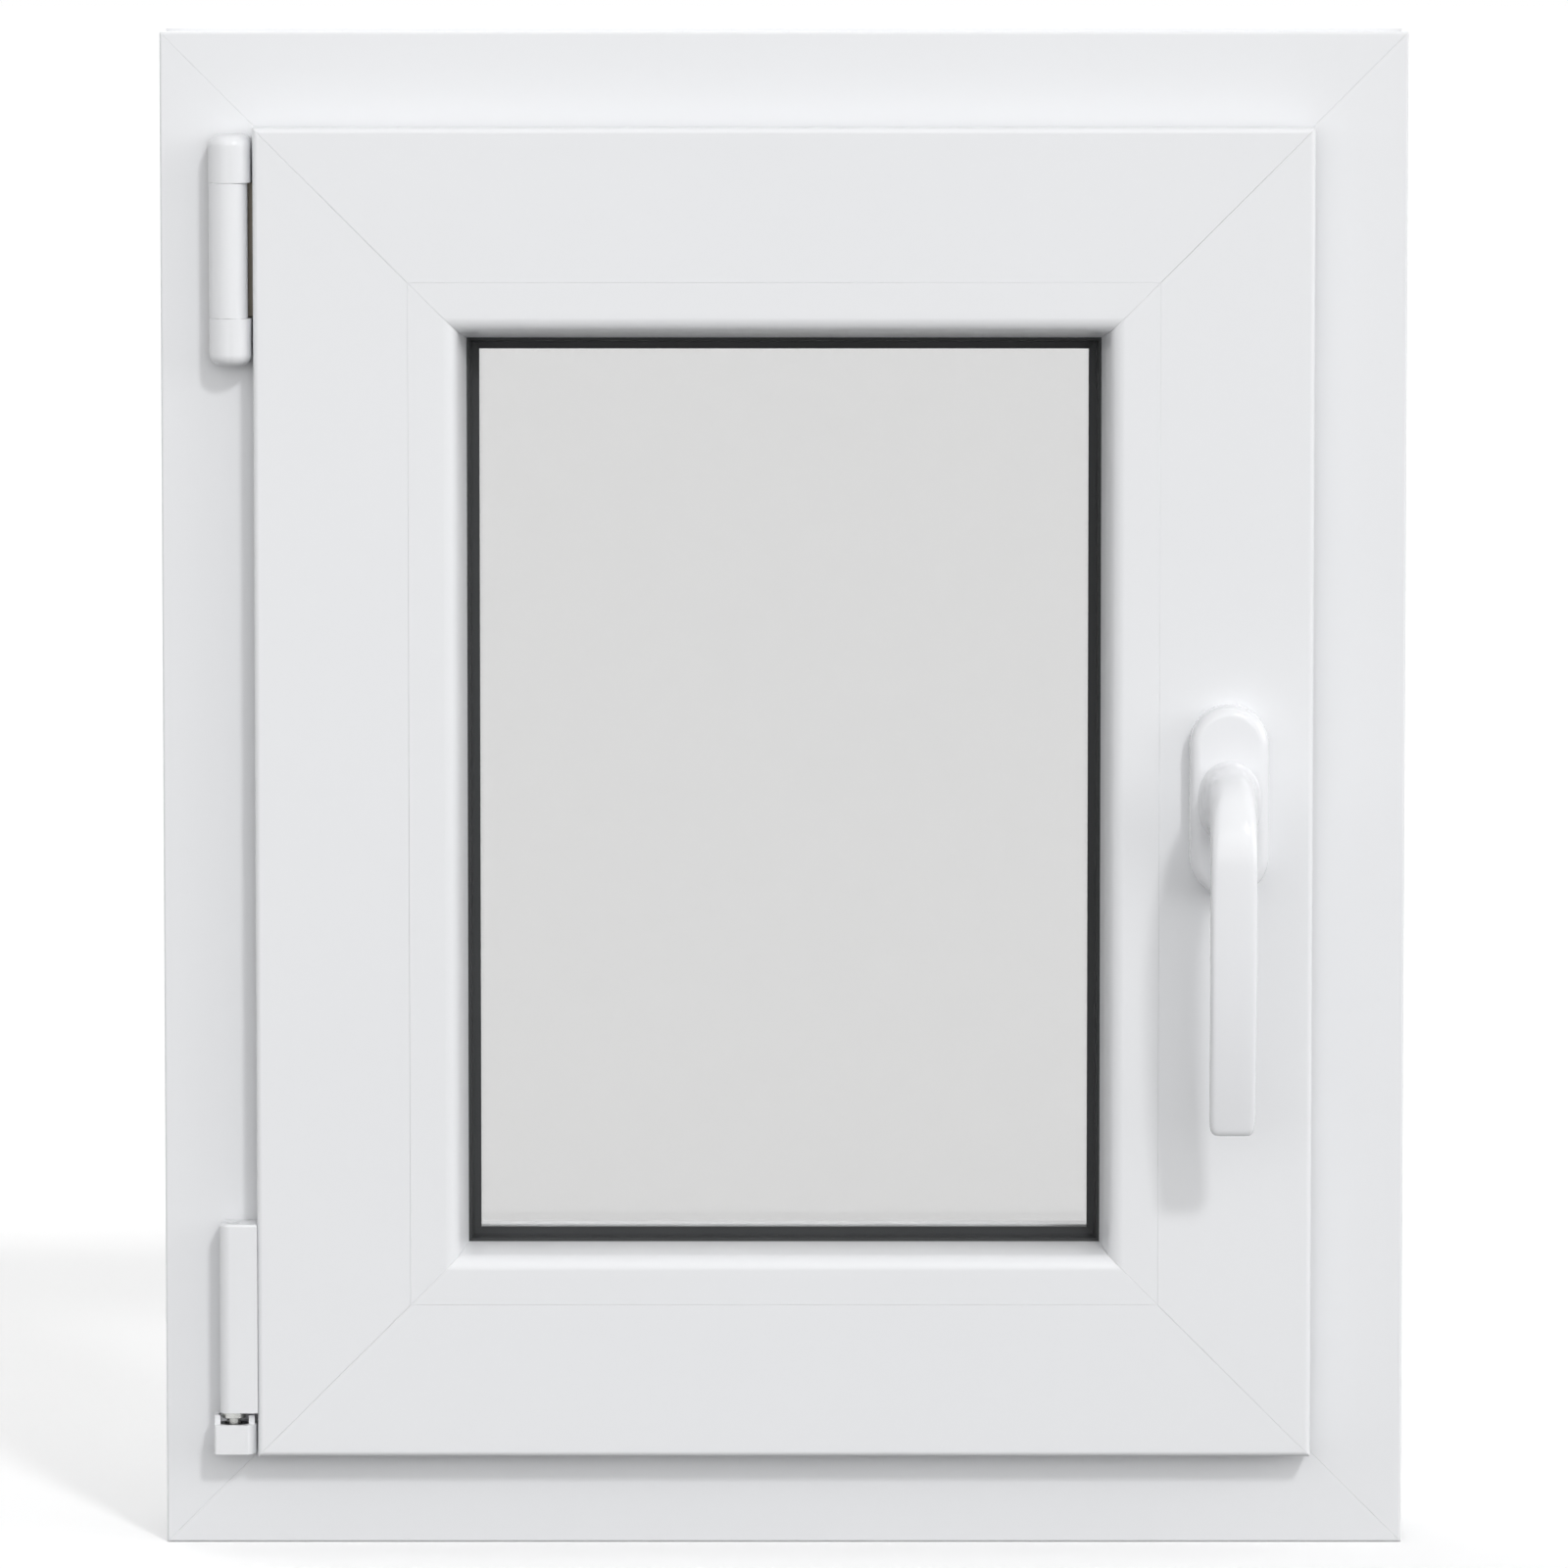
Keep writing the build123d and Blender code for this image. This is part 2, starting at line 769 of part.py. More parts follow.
# Lower hinge: pivot block on the frame, turning cup, ball pin, and the sleeve and strap on the sash
block_high = block_low + block_tall
with BuildPart() as lower_pivot_block:
    with BuildSketch(Plane.XY.offset(block_low)):
        with BuildLine():
            swing_r = hinge_gap - swing_clear
            block_right = hinge_gap - block_clear
            front_reach = sqrt(swing_r**2 - block_front**2)
            side_reach = sqrt(swing_r**2 - block_right**2)
            left = hinge_x - block_left
            right = hinge_x + block_right
            front = hinge_y - block_front
            front_end = (hinge_x + front_reach, front)
            side_end = (right, hinge_y - side_reach)
            Polyline(side_end, (right, 0), (left, 0), (left, front), front_end)
            RadiusArc(front_end, side_end, -swing_r)
        make_face()
    extrude(amount=block_tall)
    upright = lower_pivot_block.edges().filter_by(Axis.Z)
    fillet(upright.sort_by_distance((left, front, block_low))[0], small_round)
    for x in (left + cheek_wide / 2, right - cheek_inset - cheek_wide / 2):
        with Locations((x, hinge_y, block_high + cheek_tall / 2)):
            Box(cheek_wide, cheek_deep, cheek_tall)
    with BuildSketch(Plane.XY.offset(block_low + profile_wall)):
        with Locations((hinge_x, hinge_y)):
            Circle(cup_r + running_clear)
    extrude(amount=block_tall + cheek_tall, mode=Mode.SUBTRACT)
keep(lower_pivot_block, "lower_pivot_block")

with BuildPart() as pivot_cup:
    with BuildSketch(Plane.XY.offset(block_low + profile_wall)):
        with Locations((hinge_x, hinge_y)):
            Circle(cup_r)
    extrude(amount=block_tall - profile_wall)
    with Locations((hinge_x, hinge_y, tilt_height)):
        Sphere(ball_r + running_clear, mode=Mode.SUBTRACT)
    with BuildSketch(Plane.XY.offset(tilt_height)):
        with Locations((hinge_x, hinge_y)):
            Circle(cup_mouth_r)
    extrude(amount=block_tall, mode=Mode.SUBTRACT)
keep(pivot_cup, "pivot_cup")

with BuildPart() as ball_pin:
    with Locations((hinge_x, hinge_y, tilt_height)):
        Sphere(ball_r)
    with BuildSketch(Plane.XY.offset(tilt_height)):
        with Locations((hinge_x, hinge_y)):
            Circle(ball_stem_r)
    extrude(amount=stem_tall)
    with BuildSketch(Plane.XY.offset(sleeve_low)):
        with Locations((hinge_x, hinge_y)):
            Circle(collar_r)
    extrude(amount=-collar_tall)
keep(ball_pin, "ball_pin")

strap_low = sleeve_low + strap_margin
strap_high = sleeve_low + sleeve_tall - strap_margin
strap_x = (hinge_x + sleeve_left / 2, strap_wide - sash_half)
strap_screws_at = [
    (strap_wide / 2 - sash_half, flange_rear + strap_thick, z)
    for z in (strap_low + strap_margin, strap_high - strap_margin)
]
strap_shanks = screws(strap_screws_at, (0, -1, 0), screw_r, screw_r, screw_head, strap_screw_long)
with BuildPart() as lower_hinge_strap:
    box_between(
        (strap_x[0], flange_rear, strap_low),
        (strap_x[1], flange_rear + strap_thick, strap_high),
    )
    add(strap_shanks, mode=Mode.SUBTRACT)
keep(lower_hinge_strap, "lower_hinge_strap")

with BuildPart() as strap_screws:
    add(strap_shanks)
keep(strap_screws, "strap_screws")

sleeve_right = -sash_half
with BuildPart() as lower_hinge_sleeve:
    with BuildSketch(Plane.XY.offset(sleeve_low)):
        left = hinge_x - sleeve_left
        front = hinge_y - sleeve_front
        rear = flange_rear + strap_thick
        outline(
            [(left, front), (sleeve_right, front), (sleeve_right, rear), (left, rear)],
            [((left, front), sleeve_round), ((left, rear), sleeve_round)],
        )
        with Locations((hinge_x, hinge_y)):
            Circle(ball_stem_r, mode=Mode.SUBTRACT)
    extrude(amount=sleeve_tall)
    box_between(
        (strap_x[0], flange_rear, strap_low),
        (sleeve_right, rear, strap_high),
        mode=Mode.SUBTRACT,
    )
    fillet(lower_hinge_sleeve.faces().sort_by(Axis.Z)[-1].outer_wire().edges(), small_round)
keep(lower_hinge_sleeve, "lower_hinge_sleeve")

# Handle: base plate, rosette cover, its screws, lever and square spindle
sash_face = -sash_proud
base_front = sash_face - base_thick
rosette_front = sash_face - rosette_deep
handle_screw_places = [(handle_x, base_front, z) for z in handle_screws_at]
handle_shanks = screws(
    handle_screw_places,
    (0, 1, 0),
    handle_screw_r,
    handle_screw_head_r,
    handle_screw_head,
    handle_screw_long,
)


def stadium(inset):
    # The rosette's outline, drawn in by an inset
    with Locations((handle_x, handle_height)):
        SlotOverall(rosette_tall - 2 * inset, rosette_wide - 2 * inset, rotation=90)


with BuildPart() as handle_base:
    with BuildSketch(Plane.XZ.offset(-sash_face)):
        stadium(cover_wall + part_clear)
        with Locations((handle_x, handle_height)):
            Circle(spindle_hole_r, mode=Mode.SUBTRACT)
    extrude(amount=base_thick)
    add(handle_shanks, mode=Mode.SUBTRACT)
keep(handle_base, "handle_base")

with BuildPart() as handle_screws:
    add(handle_shanks)
keep(handle_screws, "handle_screws")

with BuildPart() as handle_rosette:
    with BuildSketch(Plane.XZ.offset(-sash_face)):
        stadium(0)
    extrude(amount=rosette_deep)
    fillet(handle_rosette.faces().sort_by(Axis.Y)[0].edges(), 2 * edge_round)
    with BuildSketch(Plane.XZ.offset(-sash_face)):
        stadium(cover_wall)
    extrude(amount=rosette_deep - cover_wall, mode=Mode.SUBTRACT)
    with BuildSketch(Plane.XZ.offset(-sash_face)):
        with Locations((handle_x, handle_height)):
            Circle(neck_r + part_clear)
    extrude(amount=2 * rosette_deep, mode=Mode.SUBTRACT)
keep(handle_rosette, "handle_rosette")

lever_face = sash_face - lever_front
lever_back = lever_face + lever_thick
neck_foot = base_front - neck_gap
neck_head = lever_back + lever_thick
spindle_end = groove_front + groove_wide - plate_clear
with BuildPart() as handle_lever:
    with BuildSketch(Plane(origin=(handle_x, 0, handle_height), x_dir=(0, 1, 0), z_dir=(1, 0, 0))):
        knee = -neck_r - lever_edge
        outline(
            [
                (neck_head, lever_top),
                (lever_face, lever_top),
                (lever_face, -lever_bend),
                (lever_face + lever_drop, -lever_long),
                (lever_face + lever_drop + lever_end_thick, -lever_long),
                (lever_back, -lever_bend),
                (lever_back, knee),
                (neck_head, knee + lever_edge),
            ],
            [
                ((lever_face, lever_top), lever_thick),
                ((lever_face, -lever_bend), 2 * lever_bend),
                ((lever_back, -lever_bend), 2 * lever_bend),
                ((lever_face + lever_drop, -lever_long), edge_round),
                ((lever_face + lever_drop + lever_end_thick, -lever_long), edge_round),
            ],
        )
    extrude(amount=lever_wide / 2, both=True)
    rims = handle_lever.faces().filter_by(Axis.X)
    fillet([edge for rim in rims for edge in rim.edges()], lever_edge)
    with BuildSketch(Plane.XZ.offset(-neck_foot)):
        with Locations((handle_x, handle_height)):
            Circle(neck_r)
    extrude(amount=neck_foot - rosette_front + neck_lift)
    with BuildSketch(Plane.XZ.offset(neck_lift - rosette_front)):
        with Locations((handle_x, handle_height)):
            Ellipse(neck_r, neck_tall)
    with BuildSketch(Plane.XZ.offset(-neck_head + small_round)):
        with Locations((handle_x, handle_height)):
            Ellipse(lever_wide / 2 - small_round, lever_top - small_round)
    loft()
    with BuildSketch(Plane.XZ.offset(-neck_foot)):
        with Locations((handle_x, handle_height)):
            Rectangle(spindle_side, spindle_side)
    extrude(amount=spindle_in_lever, mode=Mode.SUBTRACT)
keep(handle_lever, "handle_lever")

with BuildPart() as spindle:
    with BuildSketch(Plane.XZ.offset(-spindle_end)):
        with Locations((handle_x, handle_height)):
            Rectangle(spindle_side, spindle_side)
    extrude(amount=spindle_end - neck_foot + spindle_in_lever)
keep(spindle, "spindle")

# Pinion with involute teeth, in mesh with the rack on the drive rod
base_r = pitch_r * cos(radians(pressure_angle))
root_r = pitch_r - dedendum * gear_module
tooth_pitch = pi * gear_module


def involute(angle):
    return tan(angle) - angle


def tooth_half_angle(radius):
    # Half of a tooth's angle at a radius, with its share of the backlash taken off
    pressure = acos(base_r / radius)
    at_pitch = (tooth_pitch / 4 - tooth_clear) / pitch_r
    return at_pitch + involute(radians(pressure_angle)) - involute(pressure)


def flank_point(radius, way):
    angle = way * tooth_half_angle(radius)
    return (handle_x + radius * cos(angle), handle_height + radius * sin(angle))


def rack_plane(y):
    return Plane.XZ.offset(-y)


pinion_rear = groove_mid + pinion_wide / 2
hub_ends = (plate_y0 + plate_clear, plate_y1 - plate_clear)
with BuildPart() as pinion:
    with BuildSketch(rack_plane(pinion_rear)):
        with Locations((handle_x, handle_height)):
            Circle(root_r)
        with BuildSketch(mode=Mode.PRIVATE) as tooth:
            with BuildLine():
                ThreePointArc(*[flank_point(r, -1) for r in (base_r, pitch_r, tip_r)])
                Line(flank_point(tip_r, -1), flank_point(tip_r, 1))
                ThreePointArc(*[flank_point(r, 1) for r in (tip_r, pitch_r, base_r)])
                Polyline(
                    flank_point(base_r, 1),
                    (handle_x, handle_height),
                    flank_point(base_r, -1),
                )
            make_face()
        for index in range(gear_teeth):
            turn = Axis((handle_x, handle_height, 0), (0, 0, 1))
            add(tooth.sketch_local.rotate(turn, 360 * index / gear_teeth))
    extrude(amount=pinion_wide)
    with BuildSketch(rack_plane(hub_ends[1])):
        with Locations((handle_x, handle_height)):
            Circle(hub_r)
    extrude(amount=hub_ends[1] - hub_ends[0])
    with BuildSketch(rack_plane(hub_ends[1])):
        with Locations((handle_x, handle_height)):
            Rectangle(spindle_side, spindle_side)
    extrude(amount=hub_ends[1] - hub_ends[0], mode=Mode.SUBTRACT)
keep(pinion, "pinion")

# Gearbox case round the pinion, open towards the rack
tooth_tip_x = handle_x + pitch_r - gear_module
case_right = handle_x + hub_r + gear_wall - part_clear / 2
with BuildPart() as gearbox_case:
    box_between(
        (handle_x - case_r, plate_y0, handle_height - case_half),
        (case_right, plate_y1, handle_height + case_half),
    )
    with BuildSketch(rack_plane(pinion_rear + part_clear)):
        with Locations((handle_x, handle_height)):
            Circle(tip_r + part_clear)
        cut_window(
            tooth_tip_x - part_clear,
            handle_height - case_half,
            case_right,
            handle_height + case_half,
            mode=Mode.ADD,
        )
    extrude(amount=pinion_wide + 2 * part_clear, mode=Mode.SUBTRACT)
    with BuildSketch(rack_plane(plate_y1)):
        with Locations((handle_x, handle_height)):
            Circle(hub_r + running_clear)
    extrude(amount=plate_y1 - plate_y0, mode=Mode.SUBTRACT)
keep(gearbox_case, "gearbox_case")

# Drive rod with its rack, and the locking cams riveted to it; it stops short of the faceplate's screws
plate_screw_half = plate_half - plate_screw_inset
rod_half = plate_screw_half - rod_travel - 2 * screw_r - part_clear
rod_outer = sash_half - rod_inset
rack_root_x = handle_x + pitch_r + dedendum * gear_module
rack_low = handle_height - tip_r
rack_high = handle_height + rod_travel + tip_r
cams_at = [cam_height - index * cam_spacing for index in range(2)]
rack_count = int((rack_high - rack_low) / tooth_pitch)
flank_lean = tan(radians(pressure_angle))
tooth_half = tooth_pitch / 4 - tooth_clear


def rack_tooth(z):
    tip = tooth_half - gear_module * flank_lean
    root = tooth_half + dedendum * gear_module * flank_lean
    Polygon(
        (rack_root_x, z - root),
        (rack_root_x, z + root),
        (tooth_tip_x, z + tip),
        (tooth_tip_x, z - tip),
        align=None,
    )


with BuildPart() as drive_rod:
    with BuildSketch(rack_plane(groove_mid + rod_wide / 2)):
        cut_window(
            rod_outer - rod_thick,
            handle_height - rod_half,
            rod_outer,
            handle_height + rod_half,
            mode=Mode.ADD,
        )
        cut_window(rod_outer - rod_thick, rack_low, rack_root_x, rack_high)
    extrude(amount=rod_wide)
    with BuildSketch(rack_plane(pinion_rear)):
        first = -int((handle_height - rack_low) / tooth_pitch)
        for index in range(first, first + rack_count):
            rack_tooth(handle_height + (index + 0.5) * tooth_pitch)
    extrude(amount=pinion_wide)
    with Locations([(rod_outer, groove_mid, z) for z in cams_at]):
        Cylinder(cam_stem_r, 2 * (rod_thick + cut_over), rotation=(0, 90, 0), mode=Mode.SUBTRACT)
keep(drive_rod, "drive_rod")

with BuildPart() as locking_cams:
    for z in cams_at:
        with BuildSketch(Plane(origin=(rod_outer - rod_thick, groove_mid, z), z_dir=(1, 0, 0))):
            Circle(cam_stem_r)
        extrude(amount=rod_thick)
        with BuildSketch(Plane(origin=(rod_outer, groove_mid, z), z_dir=(1, 0, 0))):
            Circle(cam_r)
        extrude(amount=body_edge + cam_reach - rod_outer)
keep(locking_cams, "locking_cams")

# Faceplate over the drive rod, slotted for the cams, and its screws
plate_screws_at = [(body_edge, groove_mid, handle_height + end * plate_screw_half) for end in (-1, 1)]
plate_shanks = screws(plate_screws_at, (-1, 0, 0), screw_r, screw_head_r, screw_head, screw_long)
with BuildPart() as faceplate:
    box_between(
        (body_edge - plate_thick, plate_y0, handle_height - plate_half),
        (body_edge, plate_y1, handle_height + plate_half),
    )
    with BuildSketch(Plane(origin=(body_edge, 0, 0), x_dir=(0, 0, 1), z_dir=(1, 0, 0))):
        for z in cams_at:
            with Locations((z - rod_travel / 2, -groove_mid)):
                SlotCenterToCenter(rod_travel, 2 * (cam_r + part_clear))
    extrude(amount=-2 * plate_thick, mode=Mode.SUBTRACT)
    add(plate_shanks, mode=Mode.SUBTRACT)
keep(faceplate, "faceplate")

with BuildPart() as faceplate_screws:
    add(plate_shanks)
keep(faceplate_screws, "faceplate_screws")

# Keeps for the cams on the right jamb, with a low lip that the cams ride behind
keep_low = -rod_travel - keep_end
keep_face = rebate_x - keep_base
keep_screws_at = [
    (keep_face, groove_mid, z + end) for z in cams_at for end in (keep_low + cam_r, keep_end - cam_r)
]
keep_shanks = screws(keep_screws_at, (1, 0, 0), screw_r, screw_head_r, screw_head, screw_long)
for name, z in zip(("upper_keep", "lower_keep"), cams_at):
    front = groove_mid - keep_wide / 2
    with BuildPart() as cam_keep:
        box_between((keep_face, front, z + keep_low), (rebate_x, front + keep_wide, z + keep_end))
        box_between(
            (keep_face - keep_lip, front, z + keep_low),
            (keep_face, front + keep_lip_wide, z + keep_end),
        )
        add(keep_shanks, mode=Mode.SUBTRACT)
    keep(cam_keep, name)

with BuildPart() as keep_screws:
    add(keep_shanks)
keep(keep_screws, "keep_screws")

with BuildPart() as hinge_screws:
    add(bracket_shanks)
keep(hinge_screws, "hinge_screws")
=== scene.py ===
import json
from math import copysign, cos, pi, radians, sin

import bmesh
import bpy
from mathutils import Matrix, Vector


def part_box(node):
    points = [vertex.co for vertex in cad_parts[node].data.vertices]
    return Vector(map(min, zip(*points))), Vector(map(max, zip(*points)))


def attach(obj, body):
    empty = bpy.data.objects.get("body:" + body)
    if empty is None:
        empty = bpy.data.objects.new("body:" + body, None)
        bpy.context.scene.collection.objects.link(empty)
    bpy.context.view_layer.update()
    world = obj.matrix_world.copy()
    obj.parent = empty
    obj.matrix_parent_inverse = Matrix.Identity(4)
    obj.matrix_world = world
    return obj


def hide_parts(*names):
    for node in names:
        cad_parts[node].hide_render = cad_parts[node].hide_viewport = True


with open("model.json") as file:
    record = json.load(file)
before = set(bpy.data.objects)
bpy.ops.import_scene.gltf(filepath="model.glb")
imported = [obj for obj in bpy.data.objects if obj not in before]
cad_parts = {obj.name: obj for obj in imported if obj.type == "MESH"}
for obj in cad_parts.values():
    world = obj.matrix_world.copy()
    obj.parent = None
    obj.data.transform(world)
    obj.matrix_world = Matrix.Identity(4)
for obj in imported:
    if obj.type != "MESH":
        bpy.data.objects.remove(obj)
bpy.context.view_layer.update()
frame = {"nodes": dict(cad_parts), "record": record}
nodes = frame["nodes"]
bodies = {node: body for body, members in frame["record"]["behaviour"]["bodies"].items() for node in members}
scene = bpy.context.scene
scene.view_settings.view_transform = "Standard"
mm = 0.001
colourA, colourB, colourOut = 6, 7, 2  # places of the colour sockets on a Mix node
white = "#FFFFFF"
print("frame loaded:", len(nodes), "nodes")


def hexColour(code):  # sRGB hex to linear
    shares = [int(code[i:i + 2], 16) / 255 for i in (1, 3, 5)]
    return [s / 12.92 if s <= 0.04045 else ((s + 0.055) / 1.055) ** 2.4 for s in shares] + [1.0]


def addNode(tree, kind, settings=None, values=None, links=None):  # one shader node with what feeds it
    node = tree.nodes.new(kind)
    for name, value in (settings or {}).items():
        setattr(node, name, value)
    for name, value in (values or {}).items():
        node.inputs[name].default_value = value
    for name, source in (links or {}).items():
        tree.links.new(source, node.inputs[name])
    return node


def startMaterial(name):
    material = bpy.data.materials.new(name)
    material.use_nodes = True
    tree = material.node_tree
    return material, tree, tree.nodes["Principled BSDF"]


def perMetre(millimetres):  # texture scale whose features are that many millimetres across
    return 1 / (millimetres * mm)


# PVC-U, co-extruded: satin, very faint drawing lines along the bar and a slight cloudiness
def extrudedPvc(name, along):
    look = {"colour": "#E5E6E8", "cloud": "#E2E3E5", "cloudSize": 140, "lineSize": 1.6, "lineRun": 300,
            "peelSize": 0.9, "glossiest": 0.3, "dullest": 0.39, "ior": 1.53, "bump": 0.5, "lineDepth": 0.012,
            "peelDepth": 0.006}
    material, tree, shader = startMaterial(name)
    place = addNode(tree, "ShaderNodeTexCoord").outputs["Object"]
    stretch = [perMetre(look["lineSize"])] * 3
    stretch[along] = perMetre(look["lineRun"])
    drawn = addNode(tree, "ShaderNodeMapping", values={"Scale": stretch}, links={"Vector": place})
    cloud = addNode(tree, "ShaderNodeTexNoise", values={"Scale": perMetre(look["cloudSize"]), "Detail": 2.0},
                    links={"Vector": place})
    tint = addNode(tree, "ShaderNodeMix", {"data_type": "RGBA"},
                   {colourA: hexColour(look["colour"]), colourB: hexColour(look["cloud"])},
                   {"Factor": cloud.outputs["Fac"]})
    lines = addNode(tree, "ShaderNodeTexNoise", values={"Scale": 1.0, "Detail": 3.0},
                    links={"Vector": drawn.outputs["Vector"]})
    peel = addNode(tree, "ShaderNodeTexNoise", values={"Scale": perMetre(look["peelSize"]), "Detail": 1.0},
                   links={"Vector": place})
    gloss = addNode(tree, "ShaderNodeMapRange",
                    values={"To Min": look["glossiest"], "To Max": look["dullest"]},
                    links={"Value": lines.outputs["Fac"]})
    ridges = addNode(tree, "ShaderNodeBump",
                     values={"Strength": look["bump"], "Distance": look["lineDepth"] * mm},
                     links={"Height": lines.outputs["Fac"]})
    skin = addNode(tree, "ShaderNodeBump",
                   values={"Strength": look["bump"], "Distance": look["peelDepth"] * mm},
                   links={"Height": peel.outputs["Fac"], "Normal": ridges.outputs["Normal"]})
    shader.inputs["IOR"].default_value = look["ior"]
    tree.links.new(tint.outputs[colourOut], shader.inputs["Base Color"])
    tree.links.new(gloss.outputs["Result"], shader.inputs["Roughness"])
    tree.links.new(skin.outputs["Normal"], shader.inputs["Normal"])
    return material


pvcAcross = extrudedPvc("pvcExtrudedAcross", 0)
pvcUpright = extrudedPvc("pvcExtrudedUpright", 2)
print("profile finish ready")


# Moulded, coated and rubber pieces: one colour, faintly clouded, under a fine-grained skin
skinShare = {"glossiest": 0.85, "dullest": 1.15, "bump": 0.5, "plainShine": 0.5, "coatRoughness": 0.05}


def mouldedSkin(name, look):
    material, tree, shader = startMaterial(name)
    place = addNode(tree, "ShaderNodeTexCoord").outputs["Object"]
    cloud = addNode(tree, "ShaderNodeTexNoise", values={"Scale": perMetre(look["cloudSize"]), "Detail": 2.0},
                    links={"Vector": place})
    tint = addNode(tree, "ShaderNodeMix", {"data_type": "RGBA"},
                   {colourA: hexColour(look["colour"]), colourB: hexColour(look["cloud"])},
                   {"Factor": cloud.outputs["Fac"]})
    grain = addNode(tree, "ShaderNodeTexNoise", values={"Scale": perMetre(look["grainSize"]), "Detail": 2.0},
                    links={"Vector": place})
    gloss = addNode(tree, "ShaderNodeMapRange", values={"To Min": look["roughness"] * skinShare["glossiest"],
                                                        "To Max": look["roughness"] * skinShare["dullest"]},
                    links={"Value": grain.outputs["Fac"]})
    skin = addNode(tree, "ShaderNodeBump",
                   values={"Strength": skinShare["bump"], "Distance": look["grainDepth"] * mm},
                   links={"Height": grain.outputs["Fac"]})
    shader.inputs["IOR"].default_value = look["ior"]
    shader.inputs["Specular IOR Level"].default_value = look.get("shine", skinShare["plainShine"])
    shader.inputs["Coat Weight"].default_value = look.get("coat", 0.0)
    shader.inputs["Coat Roughness"].default_value = skinShare["coatRoughness"]
    tree.links.new(tint.outputs[colourOut], shader.inputs["Base Color"])
    tree.links.new(gloss.outputs["Result"], shader.inputs["Roughness"])
    tree.links.new(skin.outputs["Normal"], shader.inputs["Normal"])
    return material


# Powder-coated aluminium handle: whiter and glossier than the profiles, with a slight orange peel
handleCoat = mouldedSkin("whitePowderCoat", {
    "colour": "#E7E8EA", "cloud": "#E4E5E8", "cloudSize": 60, "roughness": 0.16, "ior": 1.5, "grainSize": 1.4,
    "grainDepth": 0.006, "coat": 0.3})
# Moulded ABS hinge covers: satin, fine spark-eroded skin
hingeAbs = mouldedSkin("whiteMouldedAbs", {
    "colour": "#E4E5E7", "cloud": "#E1E2E4", "cloudSize": 50, "roughness": 0.32, "ior": 1.53,
    "grainSize": 0.5, "grainDepth": 0.006})
# EPDM glazing rubber: dark grey, dull, with a dusty bloom
epdm = mouldedSkin("blackEpdm", {
    "colour": "#38393A", "cloud": "#3F4041", "cloudSize": 30, "roughness": 0.33, "ior": 1.5, "grainSize": 0.4,
    "grainDepth": 0.01, "shine": 0.07})
# Polysulphide edge sealant: black, matt, lumpy
polysulphide = mouldedSkin("blackPolysulphide", {
    "colour": "#161616", "cloud": "#202020", "cloudSize": 12, "roughness": 0.7, "ior": 1.5, "grainSize": 2.0,
    "grainDepth": 0.08})
# Polyamide blocks and guides: dark grey, faintly speckled
polyamide = mouldedSkin("greyPolyamide", {
    "colour": "#3A3B3C", "cloud": "#444546", "cloudSize": 15, "roughness": 0.5, "ior": 1.53, "grainSize": 0.6,
    "grainDepth": 0.015})


# Bare and plated metal: fine rolling lines one way, a mottled plating over them
plateShare = {"glossiest": 0.75, "dullest": 1.25, "bump": 0.5}


def platedMetal(name, look):
    material, tree, shader = startMaterial(name)
    place = addNode(tree, "ShaderNodeTexCoord").outputs["Object"]
    stretch = [perMetre(look["lineSize"])] * 3
    stretch[look["along"]] = perMetre(look["lineRun"])
    rolled = addNode(tree, "ShaderNodeMapping", values={"Scale": stretch}, links={"Vector": place})
    lines = addNode(tree, "ShaderNodeTexNoise", values={"Scale": 1.0, "Detail": 3.0},
                    links={"Vector": rolled.outputs["Vector"]})
    cells = addNode(tree, "ShaderNodeTexVoronoi", values={"Scale": perMetre(look["mottleSize"])},
                    links={"Vector": place})
    cellTone = addNode(tree, "ShaderNodeSeparateColor", links={"Color": cells.outputs["Color"]})
    cloud = addNode(tree, "ShaderNodeTexNoise", values={"Scale": perMetre(look["mottleSize"]), "Detail": 4.0},
                    links={"Vector": place})
    mottle = addNode(tree, "ShaderNodeMix", values={"Factor": look["spangle"]},
                     links={"A": cloud.outputs["Fac"], "B": cellTone.outputs["Red"]})
    tint = addNode(tree, "ShaderNodeMix", {"data_type": "RGBA"},
                   {colourA: hexColour(look["colour"]), colourB: hexColour(look["mottle"])},
                   {"Factor": mottle.outputs["Result"]})
    gloss = addNode(tree, "ShaderNodeMapRange", values={"To Min": look["roughness"] * plateShare["glossiest"],
                                                        "To Max": look["roughness"] * plateShare["dullest"]},
                    links={"Value": lines.outputs["Fac"]})
    skin = addNode(tree, "ShaderNodeBump",
                   values={"Strength": plateShare["bump"], "Distance": look["lineDepth"] * mm},
                   links={"Height": lines.outputs["Fac"]})
    shader.inputs["Metallic"].default_value = 1.0
    tree.links.new(tint.outputs[colourOut], shader.inputs["Base Color"])
    tree.links.new(gloss.outputs["Result"], shader.inputs["Roughness"])
    tree.links.new(skin.outputs["Normal"], shader.inputs["Normal"])
    return material


# Aluminium spacer: mill finish, pale, drawn lines
millAluminium = platedMetal("millAluminium", {
    "colour": "#B9BBBE", "mottle": "#C6C8CA", "mottleSize": 20, "spangle": 0.0, "roughness": 0.35, "along": 2,
    "lineSize": 0.3, "lineRun": 60, "lineDepth": 0.008})
# Hot-dip galvanised steel inside the profiles: crystals of zinc, each its own grey
galvanised = platedMetal("galvanisedSteel", {
    "colour": "#9EA2A5", "mottle": "#C3C6C8", "mottleSize": 7, "spangle": 0.8, "roughness": 0.42, "along": 2,
    "lineSize": 1.2, "lineRun": 12, "lineDepth": 0.01})
